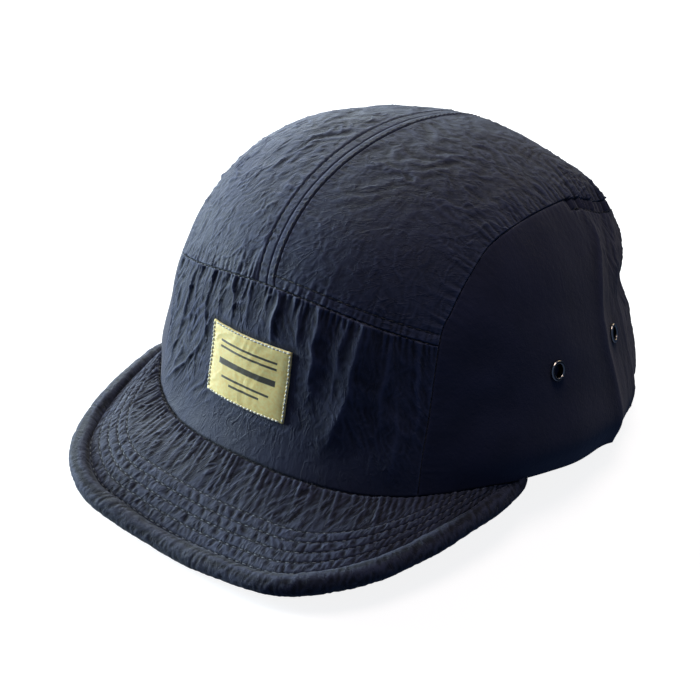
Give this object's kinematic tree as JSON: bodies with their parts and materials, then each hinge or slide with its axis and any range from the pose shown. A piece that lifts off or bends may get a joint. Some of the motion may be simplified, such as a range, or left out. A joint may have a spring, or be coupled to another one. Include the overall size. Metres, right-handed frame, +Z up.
{
  "type": "sports cap",
  "caption": "Soft nylon camp cap with a gathered front band, panelled crown, short stitched peak with a rolled edge, sweatband, plain woven label and metal eyelets.",
  "frame": {"origin": "on the surface that the cap stands on, under the middle of its box", "axes": "+Z up, the peak points to -Y, +X is the wearer's left"},
  "size_m": [0.1828, 0.2388, 0.1194],
  "materials": {
    "shell_nylon": "crinkled dark navy nylon with a slight sheen",
    "peak_nylon": "the same nylon, quilted by rows of stitches",
    "edge_nylon": "the same nylon rolled over the edge, finely wrinkled",
    "sweatband_tape": "matt woven tape",
    "woven_label": "golden beige satin weave with a pale stitched edge, no words",
    "eyelet_metal": "glossy black metal"
  },
  "bodies": {
    "root": {"front_band": "shell_nylon", "top_panel_left": "shell_nylon", "top_panel_right": "shell_nylon", "side_panel_left": "shell_nylon", "side_panel_right": "shell_nylon", "peak": "peak_nylon", "peak_edge_roll": "edge_nylon", "sweatband": "sweatband_tape", "label": "woven_label", "eyelet_left_front": "eyelet_metal", "eyelet_left_back": "eyelet_metal", "eyelet_right_front": "eyelet_metal", "eyelet_right_back": "eyelet_metal"}
  },
  "joints": []
}
